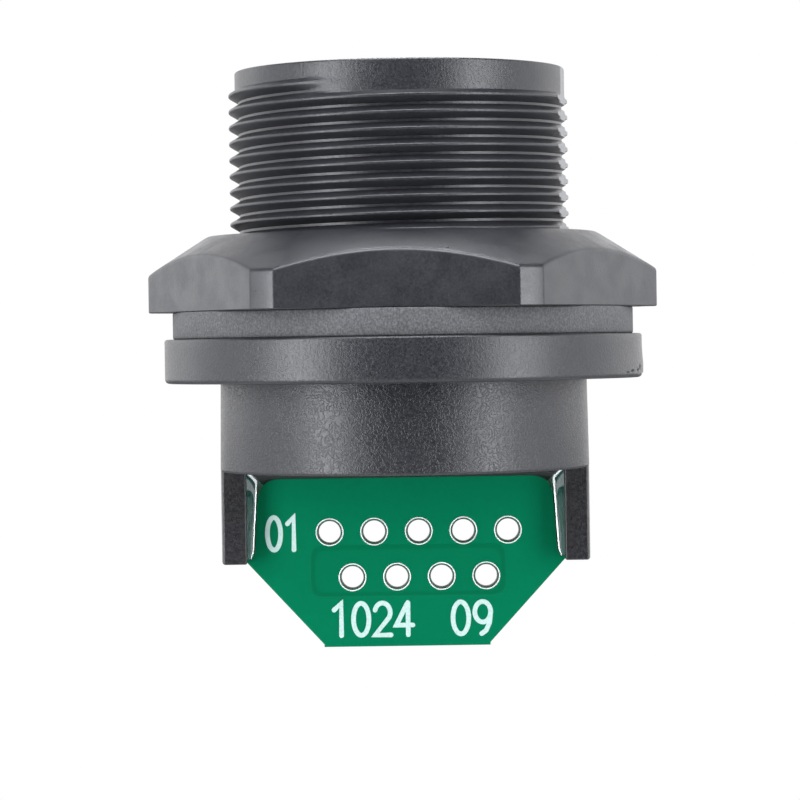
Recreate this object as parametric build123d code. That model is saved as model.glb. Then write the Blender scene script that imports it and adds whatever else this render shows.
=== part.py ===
from build123d import *
import math
import os

# Sealed ethernet panel connector: a threaded round housing with a modular jack inside and a
# solder board at its back. Millimetres. The origin is on the barrel's axis in the plane where
# the panel's back face bears on the gasket. +Z points out of the barrel's mouth, the solder
# board lies in the XZ plane and the barrel's flat faces nearly +X.

# Barrel with its locking thread, drawn as one ring for each turn
thread_diameter = 32.0
thread_depth = 0.8
thread_pitch = 1.5
thread_turns = 15
thread_crest_width = 0.2
thread_flank_angle = 30.0
thread_last_crest_z = 20.1
nose_diameter = 30.8
barrel_mouth_z = 22.3
barrel_rim_radius = 0.2
barrel_flat_distance = 15.3
barrel_flat_turn = -6.0
shroud_wall = 1.6
shroud_shoulder_z = 6.3
shroud_mouth_chamfer = 0.4
annulus_step = 0.3
annulus_floor_z = -4.0

# Flange and rear cylinder of the same moulding
flange_diameter = 44.6
flange_thickness = 4.1
flange_front_radius = 0.25
flange_rear_radius = 0.4
web_thickness = 2.5
rear_cylinder_diameter = 34.5
rear_cylinder_draft = 0.12
rear_cylinder_length = 8.3
rear_cylinder_edge = 0.28
rear_bore_diameter = 30.0
rear_bore_chamfer = 0.3

# Two arms that carry the solder board
arm_length = 8.6
arm_thickness = 6.0
arm_inner_x = 14.8
arm_tip_radius = 0.2
groove_depth = 1.1
groove_clearance = 0.05

# Hexagonal lock nut
nut_across_flats = 42.3
nut_corner_diameter = 47.5
nut_height = 7.0
nut_face_land = 1.45
nut_chamfer_angle = 32.4
nut_turn = -1.5
nut_running_clearance = 0.05
nut_countersink = 0.7
nut_foot_edge = 0.15

# Flat gasket between flange and panel
gasket_thickness = 2.5
gasket_overhang = 0.35
gasket_bore_clearance = 0.1
gasket_edge_radius = 0.3

# Jack tower inside the barrel
tower_wall = 1.3
tower_corner_radius = 1.5
tower_lip_thickness = 1.0
tower_top_z = 6.0
tower_edge_radius = 0.4
pocket_clearance = 0.1

# Modular jack: insulating body, contact block and shield
jack_width = 15.9
jack_height = 13.3
jack_depth = 16.0
plug_cavity_width = 11.9
plug_cavity_low_y = -3.4
plug_cavity_high_y = 3.5
plug_cavity_depth = 11.5
latch_channel_width = 6.2
latch_channel_low_y = -5.1
latch_nose_width = 3.3
latch_nose_low_y = -5.9
window_clearance = 0.25
block_wall_y = 5.95
block_rear_low_y = -4.6
block_rear_half_width = 6.5
block_front_setback = 1.6
block_clearance = 0.05
shield_thickness = 0.23
shield_clearance = 0.02
shield_setback = 0.1
shield_tab_width = 1.2

# Contacts, stamped from flat strip
contact_count = 8
contact_pitch = 1.016
contact_width = 0.45
contact_thickness = 0.35
contact_run_y = 5.35
contact_hairpin_setback = 2.4
contact_tip_y = 1.7
contact_tip_above_floor = 0.9
contact_hairpin_height = 1.0
contact_drop_z = 1.7
contact_bend_radius = 0.4
slot_clearance = 0.08
tail_gap = 0.03

# Solder board with nine plated holes
board_thickness = 1.6
board_seat_clearance = 0.05
board_front_gap = 0.6
board_shoulder_half_width = 14.84
board_foot_half_width = 7.77
board_foot_edge = 0.25
board_length_past_cylinder = 16.55
board_corner_radius = 0.3
hole_pitch = 4.17
hole_group_x = 1.2
front_row_count = 5
front_row_drop = 5.8
row_spacing = 4.25
hole_diameter = 2.12
plating_thickness = 0.06
pad_diameter = 2.6
pad_thickness = 0.05

# Solder on the contact tails, and the clear potting
solder_length = 1.8
solder_foot_width = 0.85
solder_top_width = 0.55
tail_end_inset = 0.5
solder_overrun = 0.125
potting_recess = 0.2
meniscus_height = 1.1
meniscus_reach = 0.9
strip_reach_top = 1.3
strip_reach_bottom = 0.6
strip_end_inset = 0.3
hollow_share = 0.33

# How near an edge or corner has to be to the place it is looked for
match_tolerance = 1e-3

# Places worked out from the sizes above
thread_radius = thread_diameter / 2
thread_root_radius = thread_radius - thread_depth
shroud_bore_radius = thread_root_radius - shroud_wall
annulus_radius = shroud_bore_radius - annulus_step
flange_front_z = -gasket_thickness
flange_rear_z = flange_front_z - flange_thickness
cylinder_rear_z = flange_rear_z - rear_cylinder_length
cylinder_radius = rear_cylinder_diameter / 2
arm_end_z = cylinder_rear_z - arm_length
web_rear_z = annulus_floor_z - web_thickness
groove_x = arm_inner_x + groove_depth
nut_bore_radius = thread_radius + nut_running_clearance
nut_face_radius = nut_bore_radius + nut_countersink + nut_face_land
gasket_outer_diameter = nut_across_flats + 2 * gasket_overhang

jack_front_z = tower_top_z - tower_lip_thickness
jack_back_z = jack_front_z - jack_depth
cavity_floor_z = jack_front_z - plug_cavity_depth
shield_reach = shield_clearance + shield_thickness
shield_width = jack_width + 2 * shield_reach
shield_height = jack_height + 2 * shield_reach
pocket_width = shield_width + 2 * pocket_clearance
pocket_height = shield_height + 2 * pocket_clearance

board_front_z = jack_back_z - board_front_gap
board_end_z = cylinder_rear_z - board_length_past_cylinder
board_face_y = board_thickness / 2
board_half_width = groove_x - board_seat_clearance
front_row_z = cylinder_rear_z - front_row_drop
rear_row_z = front_row_z - row_spacing

tail_y = board_face_y + tail_gap + contact_thickness / 2
tail_end_z = cylinder_rear_z + tail_end_inset
potting_z = cylinder_rear_z + potting_recess

contact_xs = [contact_pitch * (i - (contact_count - 1) / 2) for i in range(contact_count)]
hole_places = [
    (hole_group_x + hole_pitch * (i - (front_row_count - 1) / 2), front_row_z)
    for i in range(front_row_count)
] + [
    (hole_group_x + hole_pitch * (i - (front_row_count - 2) / 2), rear_row_z)
    for i in range(front_row_count - 1)
]


def block(low_x, high_x, low_y, high_y, low_z, high_z):
    """A box between two corners."""
    size = (high_x - low_x, high_y - low_y, high_z - low_z)
    centre = ((low_x + high_x) / 2, (low_y + high_y) / 2, (low_z + high_z) / 2)
    return Pos(*centre) * Box(*size)


def edges_at(shape, axis, place):
    """The edges whose centre lies at one place along an axis."""
    return shape.edges().filter_by_position(axis, place - match_tolerance, place + match_tolerance)


def thread_profile(nose_radius):
    """The thread's half section, from the flange up to the nose."""
    slope = math.tan(math.radians(thread_flank_angle))
    half_crest = thread_crest_width / 2
    half_foot = half_crest + thread_depth * slope
    points = [(thread_root_radius, flange_front_z)]
    for turn in reversed(range(thread_turns)):
        crest_z = thread_last_crest_z - turn * thread_pitch
        points += [
            (thread_root_radius, crest_z - half_foot),
            (thread_radius, crest_z - half_crest),
            (thread_radius, crest_z + half_crest),
            (thread_root_radius, crest_z + half_foot),
        ]
    nose_start_z = thread_last_crest_z + half_crest + (thread_radius - nose_radius) * slope
    return points[:-1] + [(nose_radius, nose_start_z)]


def housing_body():
    """Barrel, flange and rear cylinder, turned from one half section."""
    nose_radius = nose_diameter / 2
    root_radius = cylinder_radius - rear_cylinder_draft
    outline = Polyline(
        (0, web_rear_z),
        (rear_bore_diameter / 2, web_rear_z),
        (rear_bore_diameter / 2, cylinder_rear_z + rear_bore_chamfer),
        (rear_bore_diameter / 2 + rear_bore_chamfer, cylinder_rear_z),
        (cylinder_radius - rear_cylinder_edge, cylinder_rear_z),
        (cylinder_radius, cylinder_rear_z + rear_cylinder_edge),
        (root_radius, flange_rear_z),
        (flange_diameter / 2, flange_rear_z),
        (flange_diameter / 2, flange_front_z),
        *thread_profile(nose_radius),
        (nose_radius, barrel_mouth_z),
        (shroud_bore_radius + shroud_mouth_chamfer, barrel_mouth_z),
        (shroud_bore_radius, barrel_mouth_z - shroud_mouth_chamfer),
        (shroud_bore_radius, shroud_shoulder_z),
        (annulus_radius, shroud_shoulder_z),
        (annulus_radius, annulus_floor_z),
        (0, annulus_floor_z),
        (0, web_rear_z),
    )
    body = revolve(Plane.XZ * make_face(outline), Axis.Z)
    rounded = {
        flange_front_z: (flange_diameter / 2, flange_front_radius),
        flange_rear_z: (flange_diameter / 2, flange_rear_radius),
        barrel_mouth_z: (nose_radius, barrel_rim_radius),
    }
    for place, (radius, rounding) in rounded.items():
        rims = [
            edge
            for edge in edges_at(body, Axis.Z, place)
            if edge.geom_type == GeomType.CIRCLE and abs(edge.radius - radius) < match_tolerance
        ]
        body = fillet(rims, rounding)
    return body


def jack_tower():
    """The rectangular tower that holds the jack inside the barrel."""
    outline = RectangleRounded(
        pocket_width + 2 * tower_wall, pocket_height + 2 * tower_wall, tower_corner_radius
    )
    height = tower_top_z - annulus_floor_z
    tower = Pos(0, 0, annulus_floor_z) * extrude(outline, height)
    return fillet(edges_at(tower, Axis.Z, tower_top_z), tower_edge_radius)


def board_arms():
    """The two arms behind the rear cylinder, cut from the same ring."""
    strip = Rectangle(2 * cylinder_radius, arm_thickness)
    gap = Rectangle(2 * arm_inner_x, arm_thickness)
    outline = (Circle(cylinder_radius) & strip) - gap
    arms = Pos(0, 0, arm_end_z) * extrude(outline, cylinder_rear_z - arm_end_z)
    arms = fillet(edges_at(arms, Axis.Z, arm_end_z), arm_tip_radius)
    seats = (Circle(rear_bore_diameter / 2) & strip) - gap
    return arms, Pos(0, 0, cylinder_rear_z) * extrude(seats, web_rear_z - cylinder_rear_z)


def make_housing():
    """One grey moulding: threaded barrel, flange, rear cylinder, jack tower and board arms."""
    arms, seats = board_arms()
    body = housing_body() + jack_tower() + arms + seats
    pocket = block(
        -pocket_width / 2,
        pocket_width / 2,
        -pocket_height / 2,
        pocket_height / 2,
        web_rear_z,
        jack_front_z,
    )
    window_half = plug_cavity_width / 2 + window_clearance
    window = block(
        -window_half,
        window_half,
        latch_nose_low_y - window_clearance,
        plug_cavity_high_y + window_clearance,
        jack_front_z,
        tower_top_z,
    )
    groove_half = board_face_y + groove_clearance
    groove = block(
        -groove_x,
        groove_x,
        -groove_half,
        groove_half,
        arm_end_z,
        board_front_z + board_seat_clearance,
    )
    flat = block(
        barrel_flat_distance,
        barrel_flat_distance + thread_radius,
        -thread_radius,
        thread_radius,
        flange_front_z,
        barrel_mouth_z,
    )
    return body - pocket - window - groove - Rot(0, 0, barrel_flat_turn) * flat


def make_lock_nut():
    """Hexagonal nut with turned-off corners, a wide cone on its front and a plain running bore."""
    hexagon = RegularPolygon(nut_across_flats / 2, 6, major_radius=False)
    body = extrude(hexagon, nut_height)
    drop = (nut_corner_diameter / 2 - nut_face_radius) * math.tan(math.radians(nut_chamfer_angle))
    section = Polyline(
        (nut_bore_radius + nut_countersink, 0),
        (nut_corner_diameter / 2 - nut_foot_edge, 0),
        (nut_corner_diameter / 2, nut_foot_edge),
        (nut_corner_diameter / 2, nut_height - drop),
        (nut_face_radius, nut_height),
        (nut_bore_radius + nut_countersink, nut_height),
        (nut_bore_radius, nut_height - nut_countersink),
        (nut_bore_radius, nut_countersink),
        (nut_bore_radius + nut_countersink, 0),
    )
    envelope = revolve(Plane.XZ * make_face(section), Axis.Z)
    return Rot(0, 0, nut_turn) * (body & envelope)


def make_panel_gasket():
    """Flat rubber ring with rounded outer edges."""
    inner_radius = thread_radius + gasket_bore_clearance
    ring = Circle(gasket_outer_diameter / 2) - Circle(inner_radius)
    gasket = Pos(0, 0, flange_front_z) * extrude(ring, gasket_thickness)
    rims = gasket.edges().filter_by(GeomType.CIRCLE).group_by(SortBy.RADIUS)[-1]
    return fillet(rims, gasket_edge_radius)


def make_jack_body():
    """Insulating jack body with the plug cavity, its latch channel and the contact block's seat."""
    half_width = jack_width / 2
    half_height = jack_height / 2
    body = block(-half_width, half_width, -half_height, half_height, jack_back_z, jack_front_z)
    half_cavity = plug_cavity_width / 2
    body -= block(
        -half_cavity, half_cavity, plug_cavity_low_y, plug_cavity_high_y, cavity_floor_z, jack_front_z
    )
    for width, low_y in (
        (latch_channel_width, latch_channel_low_y),
        (latch_nose_width, latch_nose_low_y),
    ):
        body -= block(-width / 2, width / 2, low_y, plug_cavity_low_y, cavity_floor_z, jack_front_z)
    body -= block(
        -half_cavity,
        half_cavity,
        plug_cavity_high_y,
        block_wall_y,
        cavity_floor_z,
        jack_front_z - block_front_setback,
    )
    body -= block(
        -block_rear_half_width,
        block_rear_half_width,
        block_rear_low_y,
        block_wall_y,
        jack_back_z,
        cavity_floor_z,
    )
    return body


def make_contact(x, side):
    """One spring contact: slanted spring, hairpin, run along the block, drop and solder tail.

    side is +1 or -1, the face of the board that the tail is soldered to."""
    drop_z = jack_back_z + contact_drop_z
    front_z = jack_front_z - contact_hairpin_setback
    tip_z = cavity_floor_z + contact_tip_above_floor
    path = FilletPolyline(
        (x, contact_tip_y, tip_z),
        (x, contact_run_y - contact_hairpin_height, front_z),
        (x, contact_run_y, front_z),
        (x, contact_run_y, drop_z),
        (x, side * tail_y, drop_z),
        (x, side * tail_y, tail_end_z),
        radius=contact_bend_radius,
    )
    strip = Plane(origin=path @ 0, z_dir=path % 0, x_dir=(1, 0, 0)) * Rectangle(
        contact_width, contact_thickness
    )
    return sweep(strip, path)


def make_contact_block():
    """Insulating block at the jack's back, with one slot for each contact."""
    gap = block_clearance
    floor = block(
        -plug_cavity_width / 2 + gap,
        plug_cavity_width / 2 - gap,
        plug_cavity_high_y,
        block_wall_y - gap,
        cavity_floor_z - 2 * gap,
        jack_front_z - block_front_setback - gap,
    )
    rear = block(
        -block_rear_half_width + gap,
        block_rear_half_width - gap,
        block_rear_low_y + gap,
        block_wall_y - gap,
        jack_back_z,
        cavity_floor_z - gap,
    )
    solid = floor + rear
    half_slot = contact_width / 2 + slot_clearance
    half_wire = contact_thickness / 2 + slot_clearance
    run_high_y = contact_run_y + half_wire
    drop_z = jack_back_z + contact_drop_z
    for number, x in enumerate(contact_xs):
        tail = tail_y if number % 2 else -tail_y
        low_x, high_x = x - half_slot, x + half_slot
        solid -= block(low_x, high_x, plug_cavity_high_y, run_high_y, cavity_floor_z, jack_front_z)
        solid -= block(
            low_x,
            high_x,
            contact_run_y - contact_bend_radius - half_wire,
            run_high_y,
            drop_z,
            cavity_floor_z,
        )
        solid -= block(low_x, high_x, tail - half_wire, run_high_y, drop_z - half_wire, drop_z + half_wire)
        solid -= block(low_x, high_x, tail - half_wire, tail + half_wire, jack_back_z, drop_z)
    return solid


def make_jack_shield():
    """Thin metal sleeve round the jack, with four tabs that straddle the solder board."""
    outer = Rectangle(shield_width, shield_height)
    inner = Rectangle(jack_width + 2 * shield_clearance, jack_height + 2 * shield_clearance)
    low_z = jack_back_z
    sleeve = Pos(0, 0, low_z) * extrude(outer - inner, jack_depth - shield_setback)
    inner_x = jack_width / 2 + shield_clearance
    outer_x = inner_x + shield_thickness
    tab_low_y = board_face_y + tail_gap
    for mirror_x in (-1, 1):
        for mirror_y in (-1, 1):
            xs = sorted((mirror_x * inner_x, mirror_x * outer_x))
            ys = sorted((mirror_y * tab_low_y, mirror_y * (tab_low_y + shield_tab_width)))
            sleeve += block(*xs, *ys, tail_end_z, low_z)
    return sleeve


def make_solder_board():
    """Glass-fibre board: square front, two long chamfers to a narrow foot and nine drilled holes."""
    slope = (board_foot_half_width - board_shoulder_half_width) / (
        board_end_z + board_foot_edge - arm_end_z
    )
    chamfer_z = arm_end_z + (board_half_width - board_shoulder_half_width) / slope
    half = [
        (board_half_width, board_front_z),
        (board_half_width, chamfer_z),
        (board_foot_half_width, board_end_z + board_foot_edge),
        (board_foot_half_width, board_end_z),
    ]
    outline = Polyline(*half, *[(-x, z) for x, z in reversed(half)], half[0])
    face = make_face(outline)
    corners = [
        vertex
        for vertex in face.vertices()
        if min(abs(vertex.Y - board_front_z), abs(vertex.Y - chamfer_z)) < match_tolerance
    ]
    face = fillet(corners, board_corner_radius)
    drill = hole_diameter / 2 + plating_thickness
    for x, z in hole_places:
        face -= Pos(x, z) * Circle(drill)
    return extrude(Plane.XZ * face, board_thickness / 2, both=True)


def make_plated_hole(x, z):
    """Tinned copper lining of one hole, with a ring on each face of the board."""
    bore = hole_diameter / 2
    lining = Circle(bore + plating_thickness) - Circle(bore)
    ring = Circle(pad_diameter / 2) - Circle(bore)
    tube = extrude(Plane.XZ * lining, board_thickness / 2, both=True)
    for side in (-1, 1):
        centre_y = side * (board_face_y + pad_thickness / 2)
        tube += Pos(0, centre_y, 0) * extrude(Plane.XZ * ring, pad_thickness / 2, both=True)
    return Pos(x, 0, z) * tube


def make_tail_solder(contacts):
    """Solder fillets that join the contact tails to the board."""
    foot = solder_foot_width / 2
    top = solder_top_width / 2
    joints = []
    for number, x in enumerate(contact_xs):
        side = 1 if number % 2 else -1
        outline = Polyline(
            (x - foot, side * board_face_y),
            (x + foot, side * board_face_y),
            (x + top, side * tail_y),
            (x - top, side * tail_y),
            (x - foot, side * board_face_y),
        )
        lump = Pos(0, 0, tail_end_z - solder_overrun) * extrude(make_face(outline), solder_length)
        joints.append(lump - contacts[number])
    return Compound(children=[solid for joint in joints for solid in joint.solids()])


def meniscus_face(plane, reach, rise):
    """The hollow-faced section of resin drawn into a corner. The corner is at the plane's origin."""
    corner = (0, 0)
    legs = Polyline((reach, 0), corner, (0, rise))
    hollow = ThreePointArc((0, rise), (reach * hollow_share, rise * hollow_share), (reach, 0))
    return plane * make_face(Curve() + [legs, hollow])


def make_potting(in_the_way):
    """Clear resin in the rear cylinder, drawn up along the board's faces and along the arms."""
    resin = Pos(0, 0, potting_z) * extrude(Circle(rear_bore_diameter / 2), web_rear_z - potting_z)
    strip_end_z = arm_end_z + strip_end_inset
    for side_y in (-1, 1):
        corner_y = side_y * board_face_y
        across = Plane(
            origin=(-arm_inner_x, corner_y, potting_z), x_dir=(0, side_y, 0), z_dir=(-side_y, 0, 0)
        )
        bar = meniscus_face(across, meniscus_reach, meniscus_height)
        resin += extrude(bar, 2 * arm_inner_x, dir=(1, 0, 0))
        for side_x in (-1, 1):
            sections = [
                meniscus_face(
                    Plane(
                        origin=(side_x * arm_inner_x, corner_y, z),
                        x_dir=(-side_x, 0, 0),
                        z_dir=(0, 0, -side_x * side_y),
                    ),
                    reach,
                    reach,
                )
                for z, reach in ((potting_z, strip_reach_top), (strip_end_z, strip_reach_bottom))
            ]
            resin += loft(sections)
    for piece in in_the_way:
        resin -= piece
    return resin


def build():
    """All pieces, by node name."""
    parts = {
        "housing": make_housing(),
        "lock_nut": make_lock_nut(),
        "panel_gasket": make_panel_gasket(),
        "jack_body": make_jack_body(),
        "contact_block": make_contact_block(),
        "jack_shield": make_jack_shield(),
        "solder_board": make_solder_board(),
    }
    contacts = [make_contact(x, 1 if number % 2 else -1) for number, x in enumerate(contact_xs)]
    for number, contact in enumerate(contacts, 1):
        parts[f"contact_{number}"] = contact
    for number, (x, z) in enumerate(hole_places, 1):
        parts[f"plated_hole_{number}"] = make_plated_hole(x, z)
    parts["tail_solder"] = make_tail_solder(contacts)
    jack_envelope = block(
        -shield_width / 2,
        shield_width / 2,
        -shield_height / 2,
        shield_height / 2,
        jack_back_z,
        web_rear_z,
    )
    in_the_way = [jack_envelope, *contacts]
    in_the_way += [parts[name] for name in ("housing", "solder_board", "jack_shield", "tail_solder")]
    parts["potting"] = make_potting(in_the_way)
    return parts


os.makedirs("parts", exist_ok=True)
for name, shape in build().items():
    export_step(shape, f"parts/{name}.step")
    print(name, len(shape.solids()), round(sum(solid.volume for solid in shape.solids()), 2))
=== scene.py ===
"""Ethernet panel connector: moulded looks, thread, resin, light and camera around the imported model."""

import math

import bmesh
import bpy
import numpy as np
from mathutils import Matrix, Vector


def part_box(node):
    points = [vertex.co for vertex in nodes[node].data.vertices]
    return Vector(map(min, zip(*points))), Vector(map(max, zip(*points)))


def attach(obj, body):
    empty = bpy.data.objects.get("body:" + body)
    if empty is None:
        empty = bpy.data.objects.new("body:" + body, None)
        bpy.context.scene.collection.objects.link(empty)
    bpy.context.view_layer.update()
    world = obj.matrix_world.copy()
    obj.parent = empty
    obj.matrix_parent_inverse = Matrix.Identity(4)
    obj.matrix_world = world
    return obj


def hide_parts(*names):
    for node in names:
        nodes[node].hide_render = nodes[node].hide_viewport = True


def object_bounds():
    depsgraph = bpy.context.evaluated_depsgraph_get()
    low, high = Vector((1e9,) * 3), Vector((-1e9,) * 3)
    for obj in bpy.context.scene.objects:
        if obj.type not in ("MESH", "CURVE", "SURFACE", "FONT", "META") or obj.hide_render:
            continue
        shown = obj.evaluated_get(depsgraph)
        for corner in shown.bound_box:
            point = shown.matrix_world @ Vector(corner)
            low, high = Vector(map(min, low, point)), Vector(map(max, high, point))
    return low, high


MM = 0.001
FULL_TURN = 2 * math.pi

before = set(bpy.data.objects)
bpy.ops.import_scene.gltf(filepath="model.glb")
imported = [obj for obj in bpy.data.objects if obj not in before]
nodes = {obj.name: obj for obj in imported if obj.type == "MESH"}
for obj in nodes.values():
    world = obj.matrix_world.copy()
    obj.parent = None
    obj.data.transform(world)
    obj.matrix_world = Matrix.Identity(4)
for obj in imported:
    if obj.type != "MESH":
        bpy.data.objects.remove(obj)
cad_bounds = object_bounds()

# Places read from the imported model, in millimetres
housing_low, housing_high = [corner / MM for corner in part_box("housing")]
nut_low, nut_high = [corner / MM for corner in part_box("lock_nut")]
gasket_low, gasket_high = [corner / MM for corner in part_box("panel_gasket")]
board_low, board_high = [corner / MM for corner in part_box("solder_board")]
resin_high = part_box("potting")[1] / MM
shield_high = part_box("jack_shield")[1] / MM
mouth_z = housing_high.z
arm_end_z = housing_low.z
flange_front_z = gasket_low.z
flange_radius = housing_high.y
web_rear_z = resin_high.z
resin_radius = resin_high.y

# Pieces that touch sink into each other a little. Clear resin stays as far from the plastic round it.
overlap = 0.01
resin_gap = 0.01

# Locking thread and barrel
thread_radius = 16.0
thread_root_radius = 15.1
thread_pitch = 1.5
thread_crest_rounding = ((0.05, thread_radius), (0.12, 15.97), (0.175, 15.9))
thread_low_flank_radius = 15.42
thread_flank_angle = 30.0
thread_left_crest_z = 20.1
thread_end_turn = 0.7
thread_fade_turns = 0.085
thread_top_z = 21.2
nose_radius = 15.4
flat_distance = 15.3
flat_turn = math.radians(-8.0)
barrel_columns = 300
flat_columns = 130
flat_reach = 19.0
# Colour of the barrel's flat, paler than the plastic: painted light for the side lamps' light that the flat
# catches.
flat_painted_light_colour = (0.1, 0.102, 0.11)

# Small nicks and a low bulge on the flange's right edge.
# Each has its angle in degrees, height, half width, half height and depth.
flange_marks = (
    (-11.8, -5.72, 0.35, 0.2, 0.22),
    (-14.6, -5.98, 0.35, 0.13, 0.2),
    (-20.0, -6.02, 0.4, 0.1, 0.16),
    (-23.5, -6.12, 0.5, 0.06, 0.08),
    (-2.0, -5.6, 3.0, 1.2, -0.12),
)

# Heights of the rows of points on the flange's face, closer together at the marks
mark_rows = (
    *(-6.2, -6.12, -6.04, -5.96, -5.88, -5.8, -5.72, -5.64, -5.55, -5.45, -5.35),
    *(-5.2, -5.0, -4.6, -4.2, -3.8, -3.4),
)

# Rest of the housing
flange_rear_z = flange_front_z - 4.1
cylinder_rear_z = flange_rear_z - 8.3
cylinder_radius = 17.25
cylinder_draft = 0.12
cylinder_edge = 0.28
flange_corner = 0.12
flange_rear_edge = 0.4
flange_front_edge = 0.25
nose_edge = 0.2
rear_bore_chamfer = 0.3
shroud_radius = 13.6
shroud_shoulder_z = 6.3
mouth_chamfer = 0.4
annulus_radius = 13.3
annulus_floor_z = web_rear_z + 2.5
tower_top_z = 6.0
tower_lip = 1.0
tower_wall = 1.3
tower_corner = 1.5
pocket_clearance = 0.1
pocket_half_x = shield_high.x + pocket_clearance
pocket_half_y = shield_high.y + pocket_clearance
window_half_x = 6.2
window_low_y = -6.15
window_high_y = 3.75
window_corner = 0.4
core_edge = 0.2
core_margin = 1.0
arm_inner_x = 14.8
arm_half_thickness = 3.0
arm_inset = 0.02
arm_root = 0.5
arm_edge = 0.16
groove_x = 15.9
groove_half = 0.85

# Resin round the board
resin_low_surface = cylinder_rear_z + 0.2
resin_drop = 1.1
resin_corner_radius = 2.0
resin_reach_top = 1.15
resin_reach_foot = 0.8
resin_foot_radius = 0.7
resin_foot_gap = 0.35
resin_slope = 48.0
resin_into_arm = 0.03
resin_into_disc = 0.02
disc_edge_width = 0.3
disc_edge_height = 0.25
disc_centre_radius = 0.02
disc_columns = 180

# Rows of the meniscus beside each arm, counted from its foot. The rows between the two get a dark resin
# look: painted shade.
resin_arm_rows = 14

# Solder holes, printed ink and the copper area under the board's mask
hole_throat_radius = 1.2
hole_columns = 96
ink_half_width = 0.22
ink_thickness = 0.012
ink_step = 0.004
copper_half_x = 9.13
copper_half_z = 2.4
copper_corner = 1.8
copper_centre_x = 0.15
copper_centre_z = -24.37

# Plain numbers: text, low and high x, low and high z
board_numbers = (
    ("01", -13.2, -9.75, -22.3, -19.25),
    ("1024", -7.3, 0.7, -30.4, -27.4),
    ("09", 4.0, 8.1, -30.4, -27.4),
)

# Faces larger than this, in square millimetres, are shaded flat
large_face = 8.0

# Lock nut and gasket
nut_half_flats = 21.15
nut_corner_radius = 23.75
nut_face_radius = 18.2
nut_cone = math.radians(32.4)
nut_turn = math.radians(-1.5)
nut_bore_radius = 16.05
nut_countersink = 0.7
nut_foot = 0.08
nut_edge_rounding = 0.5
nut_edge_support = 0.08
nut_edge_blend = 0.06
nut_columns = 300
nut_corner_steps = (-0.3, -0.15, 0, 0.15, 0.3)
nut_column_gap = 0.002
gasket_edge = 0.18
gasket_bore_clearance = 0.1
gasket_columns = 300

# Camera at the photograph's angle, from the horizon and the ellipses of rim and flange
camera_distance = 315.0
camera_lens = 151.3
camera_x = -0.37
camera_z = -3.5
camera_pitch = 0.9
camera_roll = -0.85

# Light, and a floor far below
world_front = 0.04
world_back = 1.4
lamp_power = 2.2
lamp_tint = (0.945, 0.96, 1.0)
floor_z = -320.0
floor_half = 3000.0


def mesh_object(name, vertices, faces, sharp_degrees=30.0):
    """A mesh object from millimetre points, smooth but for edges sharper than the angle."""
    mesh = bpy.data.meshes.new(name)
    mesh.from_pydata([(x * MM, y * MM, z * MM) for x, y, z in vertices], [], faces)
    mesh.update()
    piece = bpy.data.objects.new(name, mesh)
    bpy.context.scene.collection.objects.link(piece)
    tidy_mesh(piece, sharp_degrees)
    return piece


def tidy_mesh(piece, sharp_degrees):
    """Merges doubled points, turns faces outward and marks sharp edges."""
    work = bmesh.new()
    work.from_mesh(piece.data)
    bmesh.ops.remove_doubles(work, verts=work.verts, dist=1e-4 * MM)
    bmesh.ops.dissolve_degenerate(work, edges=work.edges, dist=1e-4 * MM)
    bmesh.ops.recalc_face_normals(work, faces=work.faces)
    work.to_mesh(piece.data)
    work.free()
    piece.data.shade_smooth()
    piece.data.set_sharp_from_angle(angle=math.radians(sharp_degrees))


def ring(radius, z, columns):
    """One plain ring of a turned surface, as radius and height for each column."""
    return np.full(columns, float(radius)), np.full(columns, float(z))


def band_faces(low, high, columns):
    """Faces between two rings of points that start at the numbers low and high."""
    afters = [(column + 1) % columns for column in range(columns)]
    return [(low + column, low + after, high + after, high + column) for column, after in enumerate(afters)]


def turned(name, rings, turn, sharp_degrees=30.0):
    """A closed turned piece from rings of (radius, height) arrays, one value for each angle in turn."""
    columns = len(turn)
    vertices = []
    for radii, heights in rings:
        vertices += list(zip(radii * np.cos(turn), radii * np.sin(turn), heights))
    faces = []
    for row in range(len(rings)):
        faces += band_faces(row * columns, (row + 1) % len(rings) * columns, columns)
    return mesh_object(name, vertices, faces, sharp_degrees)


def revolved(name, section, columns, sharp_degrees=30.0):
    """A closed piece turned from a half section of (radius, height) points."""
    turn = np.arange(columns) * FULL_TURN / columns
    return turned(name, [ring(radius, z, columns) for radius, z in section], turn, sharp_degrees)


def arc_points(centre, radius, start, end, steps):
    """Points of an arc in a half section, angles in degrees."""
    angles = np.radians(np.linspace(start, end, steps + 1))
    return [(centre[0] + radius * math.cos(a), centre[1] + radius * math.sin(a)) for a in angles]


def thread_rows():
    """The thread's points along its helix: rows of (offset from the crest, radius)."""
    slope = math.tan(math.radians(thread_flank_angle))
    edge, edge_radius = thread_crest_rounding[-1]
    levels = (thread_root_radius, thread_low_flank_radius)
    flank = [(edge + (edge_radius - level) * slope, level) for level in levels]
    rising = flank + list(thread_crest_rounding[::-1])
    return [(-offset, level) for offset, level in rising] + rising[::-1]


def barrel_fractions():
    """Shares of a turn for the barrel's columns, closer together at the flat."""
    middle = math.degrees(flat_turn)
    dense = np.linspace(middle - flat_reach, middle + flat_reach, flat_columns) / 360
    plain = np.arange(barrel_columns) / barrel_columns
    away = np.abs((plain - middle / 360 + 0.5) % 1 - 0.5) > flat_reach / 360
    return np.sort(np.concatenate([plain[away], dense % 1]))


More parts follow.
